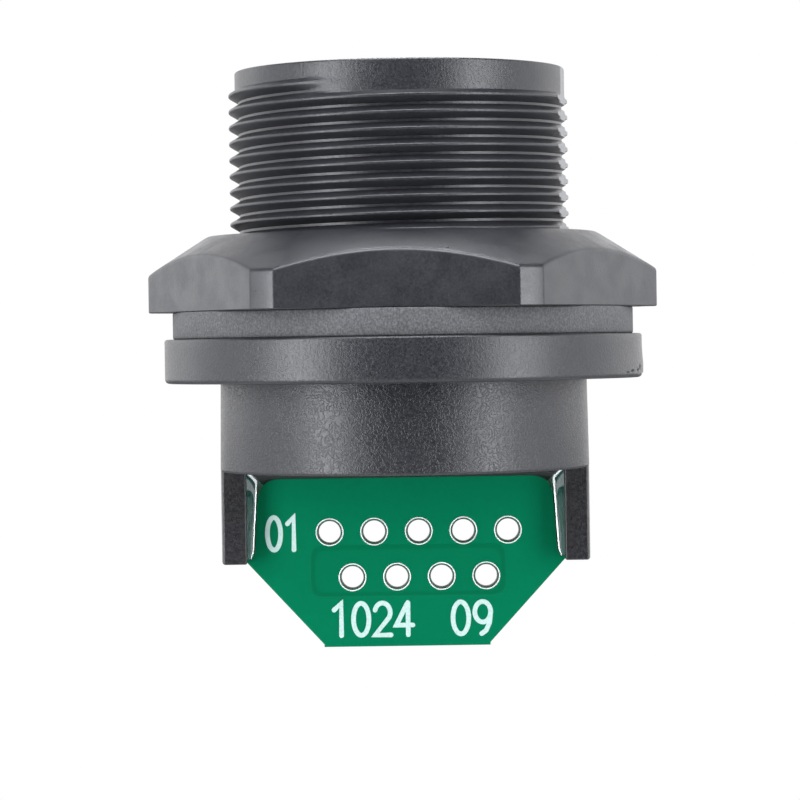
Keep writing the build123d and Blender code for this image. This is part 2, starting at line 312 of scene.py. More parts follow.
def barrel_surface():
    """Vertices and faces of the threaded stretch, whose rows follow the helix."""
    rows = thread_rows()
    fraction = barrel_fractions()
    columns = len(fraction)
    turn = fraction * FULL_TURN
    crest_start = thread_left_crest_z - thread_pitch / 2
    first = math.floor((flange_front_z - crest_start) / thread_pitch) - 2
    last = math.ceil((thread_top_z - crest_start) / thread_pitch) + 1
    vertices = []
    for k in range(first, last + 1):
        turns = k + fraction
        for offset, level in rows:
            groove_above = offset > 0 and level < nose_radius
            left = thread_end_turn - turns - (1 if groove_above else 0)
            fade = np.clip(left / thread_fade_turns, 0, 1)
            fade = fade * fade * (3 - 2 * fade)
            z = crest_start + thread_pitch * turns + offset
            radius = nose_radius + (level - nose_radius) * fade
            radius = np.where(z <= flange_front_z, thread_root_radius, radius)
            radius = np.where(z >= thread_top_z, nose_radius, radius)
            z = np.clip(z, flange_front_z, thread_top_z)
            radius = flattened(radius, turn)
            vertices += list(zip(radius * np.cos(turn), radius * np.sin(turn), z))
    per_turn = len(rows)
    total = (last - first + 1) * per_turn
    faces = []
    for row in range(total - 1):
        for column in range(columns):
            wrap = per_turn if column == columns - 1 else 0
            after = (column + 1) % columns
            if row + 1 + wrap >= total:
                continue
            faces.append(
                (
                    row * columns + column,
                    (row + wrap) * columns + after,
                    (row + 1 + wrap) * columns + after,
                    (row + 1) * columns + column,
                )
            )
    return vertices, faces


def flattened(radius, turn):
    """The radius cut back to the barrel's flat."""
    towards = np.cos(turn - flat_turn)
    limit = np.where(towards > 0.2, flat_distance / np.maximum(towards, 0.2), 1e9)
    return np.minimum(radius, limit)


def marked(radii, turn, z):
    """The flange's radius with its nicks and bulge."""
    for angle, height, half_width, half_height, depth in flange_marks:
        away = (turn - math.radians(angle) + math.pi) % FULL_TURN - math.pi
        spread = (away * flange_radius / half_width) ** 2 + ((z - height) / half_height) ** 2
        radii = radii - depth * np.exp(-spread)
    return radii


def make_shell():
    """The housing's turned wall: rear cylinder, flange, threaded barrel, mouth and bore."""
    turn = barrel_fractions() * FULL_TURN
    columns = len(turn)
    rear_corner = (cylinder_radius - cylinder_edge, cylinder_rear_z + cylinder_edge)
    flange_rear = (flange_radius - flange_rear_edge, flange_rear_z + flange_rear_edge)
    flange_front = (flange_radius - flange_front_edge, flange_front_z - flange_front_edge)
    drafted_radius = cylinder_radius - cylinder_draft
    rear = [
        (annulus_radius, annulus_floor_z),
        (annulus_radius, web_rear_z),
        (resin_radius, web_rear_z),
        (resin_radius, cylinder_rear_z + rear_bore_chamfer),
        (resin_radius + rear_bore_chamfer, cylinder_rear_z),
        *arc_points(rear_corner, cylinder_edge, -90, 0, 4),
        (drafted_radius, flange_rear_z - flange_corner),
        (drafted_radius + flange_corner, flange_rear_z),
        *arc_points(flange_rear, flange_rear_edge, -90, 0, 5),
        *((flange_radius, z) for z in mark_rows),
        *arc_points(flange_front, flange_front_edge, 0, 90, 5),
        (thread_root_radius, flange_front_z),
    ]
    front = [
        (nose_radius, thread_top_z),
        *arc_points((nose_radius - nose_edge, mouth_z - nose_edge), nose_edge, 0, 90, 5),
        (shroud_radius + mouth_chamfer, mouth_z),
        (shroud_radius, mouth_z - mouth_chamfer),
        (shroud_radius, shroud_shoulder_z),
        (annulus_radius, shroud_shoulder_z),
        (annulus_radius, annulus_floor_z),
    ]
    vertices, faces = barrel_surface()
    for points in (rear, front):
        start = len(vertices)
        for radius, z in points:
            radii = np.full(columns, radius)
            if z > flange_front_z and radius > shroud_radius + 1:
                radii = flattened(radii, turn)
            if z in mark_rows:
                radii = marked(radii, turn, z)
            vertices += list(zip(radii * np.cos(turn), radii * np.sin(turn), np.full(columns, z)))
        for row in range(len(points) - 1):
            low = start + row * columns
            faces += band_faces(low, low + columns, columns)
    return mesh_object("housing_shell", vertices, faces, sharp_degrees=35.0)


def prism(name, outline, low_z, high_z):
    """A straight prism over a closed outline of millimetre points."""
    count = len(outline)
    vertices = [(x, y, low_z) for x, y in outline] + [(x, y, high_z) for x, y in outline]
    faces = [tuple(range(count - 1, -1, -1)), tuple(range(count, 2 * count))]
    faces += band_faces(0, count, count)
    return mesh_object(name, vertices, faces)


def rectangle(low_x, high_x, low_y, high_y, corner=0.0, steps=8):
    """A rectangle's outline, with round corners if a radius is given."""
    if corner == 0:
        return [(low_x, low_y), (high_x, low_y), (high_x, high_y), (low_x, high_y)]
    centres = [
        (high_x - corner, low_y + corner, -90),
        (high_x - corner, high_y - corner, 0),
        (low_x + corner, high_y - corner, 90),
        (low_x + corner, low_y + corner, 180),
    ]
    points = []
    for x, y, start in centres:
        points += arc_points((x, y), corner, start, start + 90, steps)
    return points


def circle(radius, steps):
    """A circle's outline."""
    return [
        (radius * math.cos(i * FULL_TURN / steps), radius * math.sin(i * FULL_TURN / steps))
        for i in range(steps)
    ]


def apply_modifiers(piece):
    """Makes the modifiers' result the piece's own mesh."""
    bpy.context.view_layer.update()
    evaluated = piece.evaluated_get(bpy.context.evaluated_depsgraph_get())
    mesh = bpy.data.meshes.new_from_object(evaluated)
    piece.modifiers.clear()
    old = piece.data
    piece.data = mesh
    bpy.data.meshes.remove(old)


def combine(piece, tool, operation):
    """Joins a tool to a piece, or cuts it out, and removes the tool."""
    step = piece.modifiers.new("combine", "BOOLEAN")
    step.operation = operation
    step.solver = "EXACT"
    step.object = tool
    apply_modifiers(piece)
    mesh = tool.data
    bpy.data.objects.remove(tool)
    bpy.data.meshes.remove(mesh)


def soften(piece, width, segments=2):
    """Rounds the sharp edges. Large faces stay flat."""
    step = piece.modifiers.new("soften", "BEVEL")
    step.width = width * MM
    step.segments = segments
    step.limit_method = "ANGLE"
    step.angle_limit = math.radians(30.0)
    step.harden_normals = True
    apply_modifiers(piece)
    piece.data.shade_smooth()
    for face in piece.data.polygons:
        face.use_smooth = face.area < large_face * MM**2


def make_core():
    """The web inside the barrel and the tower that holds the jack."""
    margin = core_margin
    core = prism("housing_core", circle(annulus_radius + overlap, 180), web_rear_z, annulus_floor_z)
    outer_x = pocket_half_x + tower_wall
    outer_y = pocket_half_y + tower_wall
    outline = rectangle(-outer_x, outer_x, -outer_y, outer_y, tower_corner)
    combine(core, prism("tower", outline, web_rear_z + margin, tower_top_z), "UNION")
    pocket = rectangle(-pocket_half_x, pocket_half_x, -pocket_half_y, pocket_half_y)
    lip_z = tower_top_z - tower_lip
    combine(core, prism("pocket", pocket, web_rear_z - margin, lip_z), "DIFFERENCE")
    window = rectangle(-window_half_x, window_half_x, window_low_y, window_high_y, window_corner, 4)
    combine(core, prism("window", window, lip_z - margin, tower_top_z + margin), "DIFFERENCE")
    soften(core, core_edge)
    return core


def make_arm(side):
    """One arm behind the rear cylinder, with its groove for the board."""
    reach = math.asin(arm_half_thickness / cylinder_radius)
    radius = cylinder_radius - arm_inset
    arc = [(radius * math.cos(a), radius * math.sin(a)) for a in np.linspace(-reach, reach, 13)]
    outline = arc + [
        (arm_inner_x, arm_half_thickness),
        (arm_inner_x, groove_half),
        (groove_x, groove_half),
        (groove_x, -groove_half),
        (arm_inner_x, -groove_half),
        (arm_inner_x, -arm_half_thickness),
    ]
    name = "housing_arm_right" if side > 0 else "housing_arm_left"
    arm = prism(name, [(side * x, y) for x, y in outline], arm_end_z, cylinder_rear_z + arm_root)
    soften(arm, arm_edge, 3)
    return arm


def make_nut():
    """The lock nut: flats, turned-off corners, cone, top face and countersunk bore."""
    sixth = math.pi / 3
    half_facet = math.acos(nut_half_flats / nut_corner_radius)
    first_flat = nut_turn - math.pi / 2
    ends = [
        first_flat + k * sixth + side * half_facet + math.radians(step)
        for k in range(6)
        for side in (-1, 1)
        for step in nut_corner_steps
    ]
    even = np.arange(nut_columns) * FULL_TURN / nut_columns
    turn = np.sort(np.concatenate([even, np.array(ends) % FULL_TURN]))
    turn = turn[np.diff(turn, prepend=-1) > nut_column_gap]
    columns = len(turn)
    from_flat = np.abs((turn - first_flat + sixth / 2) % sixth - sixth / 2)
    flat = nut_half_flats / np.cos(from_flat)
    overlap = np.maximum(nut_edge_blend - np.abs(flat - nut_corner_radius), 0) / nut_edge_blend
    outer = np.minimum(flat, nut_corner_radius) - overlap**2 * nut_edge_blend / 4
    bottom = nut_low.z
    top = nut_high.z
    slope = math.tan(nut_cone)
    rounding = nut_edge_rounding
    meeting = top - (outer - nut_face_radius) * slope
    start = meeting - rounding * math.tan((math.pi / 2 - nut_cone) / 2)
    level = np.full(columns, 1.0)
    rows = [
        (outer - nut_foot, bottom * level),
        (outer, (bottom + nut_foot) * level),
        (outer, (bottom + nut_foot + nut_edge_support) * level),
        (outer, start - nut_edge_support),
    ]
    for share in np.linspace(0, 1, 5):
        angle = share * (math.pi / 2 - nut_cone)
        rows.append((outer - rounding * (1 - math.cos(angle)), start + rounding * math.sin(angle)))
    cone_foot = rows[-1][0]
    for share in (0.95, 0.75, 0.5, 0.25, 0.06):
        radii = nut_face_radius + (cone_foot - nut_face_radius) * share
        rows.append((radii, top - (radii - nut_face_radius) * slope))
    rows += [
        ring(nut_face_radius - nut_edge_support, top, columns),
        ring(nut_bore_radius + nut_countersink, top, columns),
        ring(nut_bore_radius, top - nut_countersink, columns),
        ring(nut_bore_radius, bottom + nut_countersink, columns),
        ring(nut_bore_radius + nut_countersink, bottom, columns),
    ]
    return turned("lock_nut_moulding", rows, turn, sharp_degrees=20.0)


def make_gasket():
    """The gasket: a turned ring with soft outer edges."""
    inner = thread_radius + gasket_bore_clearance
    edge_radius = gasket_high.x - gasket_edge
    section = [(inner, gasket_low.z)]
    section += arc_points((edge_radius, gasket_low.z + gasket_edge), gasket_edge, -90, 0, 4)
    section += arc_points((edge_radius, gasket_high.z - gasket_edge), gasket_edge, 0, 90, 4)
    section.append((inner, gasket_high.z))
    return revolved("gasket_ring", section, gasket_columns)


def make_hole_ring(name, x, z):
    """The tinned lining of one solder hole: a domed ring on both faces and a rounded throat, coloured dark
    as painted shade.
    """
    rim = [(1.3, 0.78), (1.3, 0.83), (1.28, 0.848), (1.235, 0.848)]
    throat = [(hole_throat_radius, 0.82), (1.12, 0.76), (1.04, 0.68), (1.02, 0.5)]
    section = rim + throat + [(radius, -height) for radius, height in reversed(rim + throat)]
    piece = revolved(name, section, hole_columns, sharp_degrees=60.0)
    upright = Matrix.Rotation(math.pi / 2, 4, "X")
    piece.data.transform(Matrix.Translation(Vector((x, 0, z)) * MM) @ upright)
    return piece


def resin_path():
    """Stations of the meniscus from the left arm's foot to the middle: contact point, wall point, reach."""
    wall_x = -arm_inner_x - resin_into_arm
    level = resin_low_surface + resin_into_disc
    corner = resin_corner_radius
    top_z = level - resin_drop
    turn_z = top_z - corner
    start_z = arm_end_z + resin_foot_gap
    stations = []
    for share in np.linspace(0, 1, 9):
        z = start_z + (turn_z - start_z) * share
        reach = resin_reach_foot + (resin_reach_top - resin_reach_foot) * share
        if share == 0:
            reach *= 0.6
        stations.append(((wall_x + reach, z), (wall_x, z), reach))
    for angle in np.linspace(0, math.pi / 2, 13)[1:]:
        share = angle / (math.pi / 2)
        contact_x = wall_x + resin_reach_top + corner * (1 - math.cos(angle))
        contact = (contact_x, turn_z + corner * math.sin(angle))
        wall = (wall_x, turn_z + (level - turn_z) * 2 * share)
        if share > 0.5:
            wall = (wall_x + (contact_x - wall_x) * (2 * share - 1), level)
        stations.append((contact, wall, resin_reach_top + (resin_drop - resin_reach_top) * share))
    x = stations[-1][0][0]
    for share in np.linspace(0, 1, 7)[1:]:
        stations.append(((x * (1 - share), top_z), (x * (1 - share), level), resin_drop))
    return stations


def resin_profile(reach):
    """The meniscus across its width: shares of the way to the wall and heights over the board."""
    radius = min(resin_foot_radius, reach * 0.9)
    slope = math.radians(resin_slope)
    points = [(radius * math.sin(a), radius * (1 - math.cos(a))) for a in np.linspace(0, slope, 7)]
    x, height = points[-1]
    for share in (0.3, 0.65, 1.0):
        points.append((x + (reach - x) * share, height + (reach - x) * share * math.tan(slope)))
    return [(x / reach, height) for x, height in points]


def make_resin():
    """Clear potting: a hollow meniscus round the board on both faces and a disc in the rear cylinder.

    The third result is a material number for each face of the meniscus: 0 clear, 1 painted shade, 2 beside
    an arm, milky with painted light.
    """
    vertices = []
    faces = []
    looks = []
    path = resin_path()
    shaded = [row >= resin_arm_rows for row in range(len(path) - 1)]
    shaded += shaded[::-1]
    path += [((-k[0], k[1]), (-w[0], w[1]), h) for k, w, h in reversed(path[:-1])]
    per = len(resin_profile(1.0)) + 1
    for side in (-1, 1):
        start = len(vertices)
        foot = board_high.y - overlap
        for (contact_x, contact_z), (wall_x, wall_z), reach in path:
            for share, rise in resin_profile(reach):
                x = contact_x + (wall_x - contact_x) * share
                z = contact_z + (wall_z - contact_z) * share
                vertices.append((x, side * (foot + rise), z))
            vertices.append((wall_x, side * foot, wall_z))
        for row in range(len(path) - 1):
            low = start + row * per
            faces += band_faces(low, low + per, per)
            for i in range(per):
                sloped = 4 <= i < per - 2
                looks.append(1 if shaded[row] else 2 if sloped else 0)
        for row in (0, len(path) - 1):
            faces.append(tuple(start + row * per + i for i in range(per)))
            looks.append(0)
    meniscus = mesh_object("potting_meniscus", vertices, faces, sharp_degrees=60.0)
    outer = resin_radius - resin_gap
    section = [
        (disc_centre_radius, web_rear_z - resin_gap),
        (disc_centre_radius, resin_low_surface),
        (outer - disc_edge_width, resin_low_surface),
        (outer, resin_low_surface - disc_edge_height),
        (outer, web_rear_z - resin_gap),
    ]
    disc = revolved("potting_disc", section, disc_columns)
    return meniscus, disc, looks


def stroke(points, half_width, low, high, name):
    """A flat stroke of ink along a line of (x, z) points: a closed ring, or a line with round ends."""
    line = [np.array(point, float) for point in points]
    closed = np.linalg.norm(line[0] - line[-1]) < 1e-6
    if closed:
        line = line[:-1]
    count = len(line)
    left = []
    right = []
    for i, point in enumerate(line):
        before = line[i] - line[i - 1] if i or closed else line[1] - line[0]
        after = line[(i + 1) % count] - line[i] if i < count - 1 or closed else before
        direction = before / np.linalg.norm(before) + after / np.linalg.norm(after)
        direction /= np.linalg.norm(direction)
        widen = 1 / max(0.5, float(np.dot(direction, before / np.linalg.norm(before))))
        normal = np.array((-direction[1], direction[0])) * half_width * widen
        left.append(point + normal)
        right.append(point - normal)
    if closed:
        sides = [(left, low), (left, high), (right, high), (right, low)]
        vertices = [(x, level, z) for edge, level in sides for x, z in edge]
        faces = []
        for side in range(4):
            faces += band_faces(side * count, (side + 1) % 4 * count, count)
        return mesh_object(name, vertices, faces)
    ends = []
    for point, neighbour in ((line[-1], line[-2]), (line[0], line[1])):
        out = (point - neighbour) / np.linalg.norm(point - neighbour)
        across = np.array((-out[1], out[0]))
        angles = np.linspace(0, math.pi, 9)[1:-1]
        ends.append([point + half_width * (math.cos(a) * across + math.sin(a) * out) for a in angles])
    outline = left + ends[0] + right[::-1] + ends[1]
    count = len(outline)
    vertices = [(x, low, z) for x, z in outline] + [(x, high, z) for x, z in outline]
    faces = [tuple(range(count)), tuple(range(2 * count - 1, count - 1, -1))]
    faces += band_faces(0, count, count)
    return mesh_object(name, vertices, faces)


def loop(centre_x, centre_z, half_x, half_z, start=0, end=360, steps=28):
    """Points of an oval, angles in degrees."""
    angles = np.radians(np.linspace(start, end, steps + 1))
    return [(centre_x + half_x * math.cos(a), centre_z + half_z * math.sin(a)) for a in angles]


# Strokes of the plain numbers, in a box 0.6 wide and 1 high
DIGITS = {
    "0": [loop(0.3, 0.5, 0.3, 0.5)],
    "1": [[(0.08, 0.8), (0.36, 1.0), (0.36, 0.0)]],
    "2": [loop(0.3, 0.7, 0.3, 0.3, 165, -30, 16) + [(0.0, 0.0), (0.62, 0.0)]],
    "4": [[(0.46, 0.0), (0.46, 1.0)], [(0.42, 0.96), (0.0, 0.3), (0.64, 0.3)]],
    "9": [loop(0.3, 0.68, 0.3, 0.32), [(0.6, 0.68), (0.56, 0.35), (0.42, 0.1), (0.25, 0.0)]],
}


def make_number(text, low_x, high_x, low_z, high_z):
    """A plain number printed on the board's camera side, inside a box. Its strokes end at two levels."""
    step = (high_x - low_x) / len(text)
    height = high_z - low_z
    pieces = []
    for place, digit in enumerate(text):
        for points in DIGITS[digit]:
            line = [(low_x + step * (place + 0.14) + x * step * 1.2, low_z + z * height) for x, z in points]
            top = board_low.y - ink_thickness - ink_step * (len(pieces) % 2)
            name = f"ink_{text}_{len(pieces)}"
            pieces.append(stroke(line, ink_half_width, board_low.y + overlap, top, name))
    return pieces


class Shader:
    """A material with a Principled surface and short ways to add nodes."""

    def __init__(self, name):
        self.material = bpy.data.materials.new(name)
        self.material.use_nodes = True
        self.tree = self.material.node_tree
        self.surface = self.tree.nodes["Principled BSDF"]
        self.place = self.add("ShaderNodeTexCoord").outputs["Object"]

    def add(self, kind, **values):
        node = self.tree.nodes.new(kind)
        for key, value in values.items():
            setattr(node, key, value)
        return node

    def link(self, source, target):
        self.tree.links.new(source, target)

    def set(self, **values):
        for key, value in values.items():
            self.surface.inputs[key.replace("_", " ")].default_value = value

    def noise(self, size_mm, detail=2.0, stretch=(1, 1, 1), roughness=0.5):
        """Noise whose features are about size_mm across, stretched along the axes."""
        mapping = self.add("ShaderNodeMapping")
        mapping.inputs["Scale"].default_value = [1 / (size_mm * MM * s) for s in stretch]
        self.link(self.place, mapping.inputs["Vector"])
        noise = self.add("ShaderNodeTexNoise")
        noise.inputs["Scale"].default_value = 1.0
        noise.inputs["Detail"].default_value = detail
        noise.inputs["Roughness"].default_value = roughness
        self.link(mapping.outputs["Vector"], noise.inputs["Vector"])
        return noise.outputs["Fac"]

    def band(self, value, low, high, out_low=0.0, out_high=1.0):
        """A value mapped from one range to another, clamped."""
        node = self.add("ShaderNodeMapRange")
        node.inputs["From Min"].default_value = low
        node.inputs["From Max"].default_value = high
        node.inputs["To Min"].default_value = out_low
        node.inputs["To Max"].default_value = out_high
        self.link(value, node.inputs["Value"])
        return node.outputs["Result"]

    def math(self, operation, first, second=0.0, third=0.0):
        node = self.add("ShaderNodeMath", operation=operation)
        for socket, value in zip(node.inputs, (first, second, third)):
            if isinstance(value, (int, float)):
                socket.default_value = value
            else:
                self.link(value, socket)
        return node.outputs["Value"]

    def mix(self, share, first, second):
        """A colour between two colours. Each colour is a tuple or a socket."""
        node = self.add("ShaderNodeMix", data_type="RGBA")
        self.link(share, node.inputs["Factor"])
        for socket, value in ((node.inputs[6], first), (node.inputs[7], second)):
            if isinstance(value, tuple):
                socket.default_value = (*value, 1.0)
            else:
                self.link(value, socket)
        return node.outputs[2]

    def bump(self, height, distance_mm, strength=1.0, under=None):
        node = self.add("ShaderNodeBump")
        node.inputs["Distance"].default_value = distance_mm * MM
        node.inputs["Strength"].default_value = strength
        self.link(height, node.inputs["Height"])
        if under is not None:
            self.link(under, node.inputs["Normal"])
        return node.outputs["Normal"]

    def axis(self, name):
        """One coordinate of the place, in metres."""
        node = self.add("ShaderNodeSeparateXYZ")
        self.link(self.place, node.inputs["Vector"])
        return node.outputs[name]

    def past(self, name, centre_mm, half_mm):
        """How far a place is past a half width from a centre along one axis, in metres."""
        away = self.math("ABSOLUTE", self.math("SUBTRACT", self.axis(name), centre_mm * MM))
        return self.math("SUBTRACT", away, half_mm * MM)


def on_barrel_flat(shader):
    """One on the barrel's flat, zero elsewhere."""
    from_x = shader.math("MULTIPLY", shader.axis("X"), math.cos(flat_turn))
    from_y = shader.math("MULTIPLY", shader.axis("Y"), math.sin(flat_turn))
    distance = shader.math("ADD", from_x, from_y)
    reach = shader.band(distance, (flat_distance - 0.03) * MM, (flat_distance - 0.01) * MM)
    return shader.math("MULTIPLY", reach, shader.band(shader.axis("Z"), 0.0, 0.1 * MM))


def grained_plastic(
    name,
    dark,
    light,
    roughness=0.36,
    spread=0.07,
    mottle=0.0,
    relief_mm=0.03,
    curl_relief_mm=0.0,
    streaks_and_painted_light=False,
):
    """Dark glass-filled plastic: fine speckle, soft blotches and a slightly rough skin.

    Mottle varies the gloss in broad patches. Curl relief raises curls of fibre. Streaks and painted light
    are for the housing: the barrel flat painted paler, which is painted light, and upright moulding streak
    lines on the nose.
    """
    shader = Shader(name)
    fine = shader.noise(0.22, 3.0, roughness=0.65)
    broad = shader.noise(2.2, 2.0)
    speckle = shader.band(fine, 0.35, 0.7, 0.0, 0.8)
    blotch = shader.band(broad, 0.3, 0.7, 0.0, 0.2)
    colour = shader.mix(shader.math("ADD", speckle, blotch), dark, light)
    if streaks_and_painted_light:
        # The barrel's flat is painted paler: painted light.
        colour = shader.mix(on_barrel_flat(shader), colour, flat_painted_light_colour)
    shader.link(colour, shader.surface.inputs["Base Color"])
    rough = shader.band(fine, 0.3, 0.7, roughness - spread, roughness + spread)
    if mottle:
        rough = shader.math("ADD", rough, shader.band(broad, 0.35, 0.65, -mottle, mottle))
    shader.link(rough, shader.surface.inputs["Roughness"])
    relief = shader.bump(fine, relief_mm, 0.6)
    if curl_relief_mm:
        wander = shader.noise(0.42, 2.0, roughness=0.6)
        curl = shader.math("ABSOLUTE", shader.math("SUBTRACT", wander, 0.5))
        lower = shader.band(shader.axis("Z"), (flange_rear_z - 0.2) * MM, flange_rear_z * MM, 1.0, 0.5)
        curls = shader.math("MULTIPLY", shader.band(curl, 0.0, 0.07, 1.0, 0.0), lower)
        relief = shader.bump(curls, curl_relief_mm, 0.8, relief)
    if streaks_and_painted_light:
        line = shader.noise(0.18, 2.0, stretch=(1, 1, 14))
        above = shader.band(shader.axis("Z"), (thread_top_z - 0.6) * MM, thread_top_z * MM)
        relief = shader.bump(shader.math("MULTIPLY", line, above), 0.025, 0.5, relief)
    shader.link(relief, shader.surface.inputs["Normal"])
    shader.set(Specular_IOR_Level=0.5)
    return shader.material


def rubber(name):
    """Gasket rubber: matt and finely speckled."""
    shader = Shader(name)
    fine = shader.noise(0.16, 3.0, stretch=(1, 1, 1.4), roughness=0.7)
    colour = shader.mix(shader.band(fine, 0.4, 0.68), (0.036, 0.0368, 0.0392), (0.094, 0.0958, 0.0995))
    shader.link(colour, shader.surface.inputs["Base Color"])
    shader.link(shader.bump(fine, 0.04, 0.8), shader.surface.inputs["Normal"])
    shader.set(Roughness=0.62, Specular_IOR_Level=0.4)
    return shader.material


def solder_mask(name):
    """Board laminate: satin green mask over a faint copper area, bare laminate on the cut edges."""
    shader = Shader(name)
    weave = shader.noise(0.5, 1.0)
    fine = shader.noise(0.12, 2.0)
    green = shader.mix(shader.band(weave, 0.2, 0.8), (0.0, 0.113, 0.05), (0.0, 0.121, 0.054))
    reach_x = shader.past("X", copper_centre_x, copper_half_x)
    reach_z = shader.past("Z", copper_centre_z, copper_half_z)
    reach = shader.math("SMOOTH_MAX", reach_x, reach_z, copper_corner * MM)
    plane = shader.band(reach, 0.05 * MM, -0.05 * MM)
    from_border = shader.math("ABSOLUTE", shader.math("ADD", reach, 0.22 * MM))
    border = shader.band(from_border, 0.3 * MM, 0.1 * MM)
    over_copper = shader.mix(plane, green, (0.0, 0.111, 0.049))
    face = shader.mix(border, over_copper, (0.0, 0.096, 0.042))
    normal = shader.add("ShaderNodeNewGeometry").outputs["True Normal"]
    split = shader.add("ShaderNodeSeparateXYZ")
    shader.link(normal, split.inputs["Vector"])
    facing = shader.band(shader.math("ABSOLUTE", split.outputs["Y"]), 0.4, 0.6)
    edge = shader.mix(shader.band(fine, 0.35, 0.65), (0.10, 0.13, 0.05), (0.17, 0.19, 0.09))
    shader.link(shader.mix(facing, edge, face), shader.surface.inputs["Base Color"])
    relief = shader.bump(weave, 0.01, 0.3)
    relief = shader.bump(plane, 0.03, 0.6, relief)
    shader.link(relief, shader.surface.inputs["Normal"])
    shader.set(Roughness=0.3, Specular_IOR_Level=0.12)
    return shader.material


def metal(name, dark, light, roughness, grain_mm=0.3, metallic=1.0):
    """Plated metal with a slightly uneven skin. A dull or matt coat is less metallic."""
    shader = Shader(name)
    fine = shader.noise(grain_mm, 3.0)
    shader.link(shader.mix(shader.band(fine, 0.35, 0.65), dark, light), shader.surface.inputs["Base Color"])
    shader.link(
        shader.band(fine, 0.3, 0.7, roughness - 0.06, roughness + 0.06), shader.surface.inputs["Roughness"]
    )
    shader.link(shader.bump(fine, 0.01, 0.4), shader.surface.inputs["Normal"])
    shader.set(Metallic=metallic)
    return shader.material


def resin(name, colour, milky, gloss=1.0):
    """Clear potting resin, glossy with slow ripples and a little milky."""
    shader = Shader(name)
    cloud = shader.noise(2.4, 1.0)
    shader.link(shader.bump(cloud, 0.02, 0.3), shader.surface.inputs["Normal"])
    shader.set(Base_Color=(*colour, 1), Roughness=0.05)
    shader.set(IOR=1.25 + 0.3 * gloss, Transmission_Weight=1.0 - milky)
    shader.set(Coat_Weight=gloss, Coat_IOR=1.8, Coat_Roughness=0.05)
    return shader.material


def white_ink(name):
    """Printed white ink, slightly broken."""
    shader = Shader(name)
    fine = shader.noise(0.15, 3.0)
    shader.link(
        shader.mix(shader.band(fine, 0.3, 0.6), (0.31, 0.45, 0.425), (0.4, 0.53, 0.495)),
        shader.surface.inputs["Base Color"],
    )
    shader.set(Roughness=0.5)
    return shader.material


def dress(piece, material):
    """Gives a piece one material."""
    piece.data.materials.clear()
    piece.data.materials.append(material)


def place_camera():
    """The camera at the photograph's viewing angle."""
    camera = bpy.data.objects.new("camera", bpy.data.cameras.new("camera"))
    bpy.context.scene.collection.objects.link(camera)
    bpy.context.scene.camera = camera
    camera.data.sensor_width = 36.0
    camera.data.lens = camera_lens
    camera.data.clip_start = 0.01
    camera.data.clip_end = 10.0
    camera.location = Vector((camera_x, -camera_distance, camera_z)) * MM
    turn = Matrix.Rotation(math.radians(90 - camera_pitch), 4, "X")
    roll = Matrix.Rotation(math.radians(camera_roll), 4, "Z")
    camera.matrix_world = Matrix.Translation(camera.location) @ turn @ roll


def area_lamp(name, azimuth, elevation, distance, size, power):
    """A soft box that faces the object. Azimuth 0 is on the camera's side."""
    light = bpy.data.lights.new(name, "AREA")
    light.shape = "RECTANGLE"
    light.size, light.size_y = size
    light.energy = power
    light.color = lamp_tint
    lamp = bpy.data.objects.new(name, light)
    bpy.context.scene.collection.objects.link(lamp)
    a = math.radians(azimuth)
    e = math.radians(elevation)
    away = Vector((math.sin(a) * math.cos(e), -math.cos(a) * math.cos(e), math.sin(e)))
    aim = Vector((0, 0, -0.005))
    lamp.location = aim + away * distance
    lamp.rotation_euler = away.to_track_quat("Z", "Y").to_euler()


def eased(tree, value, low, high, out_low, out_high):
    """A value mapped smoothly from one range to another in a node tree."""
    node = tree.nodes.new("ShaderNodeMapRange")
    node.interpolation_type = "SMOOTHSTEP"
    node.inputs["From Min"].default_value = low
    node.inputs["From Max"].default_value = high
    node.inputs["To Min"].default_value = out_low
    node.inputs["To Max"].default_value = out_high
    tree.links.new(value, node.inputs["Value"])
    return node.outputs["Result"]


def merged(tree, operation, first, second):
    """One mathematical operation on two values in a node tree."""
    node = tree.nodes.new("ShaderNodeMath")
    node.operation = operation
    tree.links.new(first, node.inputs[0])
    tree.links.new(second, node.inputs[1])
    return node.outputs["Value"]


def white_world():
    """White to the camera and through the resin. It lights mostly from behind and not from high above."""
    world = bpy.data.worlds.new("studio")
    bpy.context.scene.world = world
    world.use_nodes = True
    tree = world.node_tree
    background = tree.nodes["Background"]
    background.inputs["Strength"].default_value = 1.0
    place = tree.nodes.new("ShaderNodeTexCoord")
    split = tree.nodes.new("ShaderNodeSeparateXYZ")
    tree.links.new(place.outputs["Generated"], split.inputs["Vector"])
    behind = eased(tree, split.outputs["Y"], -0.05, 0.55, world_front, world_back)
    low_down = eased(tree, split.outputs["Z"], 0.79, 0.55, 0.0, 1.0)
    level = merged(tree, "MULTIPLY", behind, low_down)
    path = tree.nodes.new("ShaderNodeLightPath")
    seen = merged(tree, "MAXIMUM", path.outputs["Is Camera Ray"], path.outputs["Is Transmission Ray"])
    shade = tree.nodes.new("ShaderNodeMix")
    shade.data_type = "RGBA"
    tree.links.new(level, shade.inputs[6])
    shade.inputs[7].default_value = (1, 1, 1, 1)
    tree.links.new(seen, shade.inputs["Factor"])
    tree.links.new(shade.outputs[2], background.inputs["Color"])


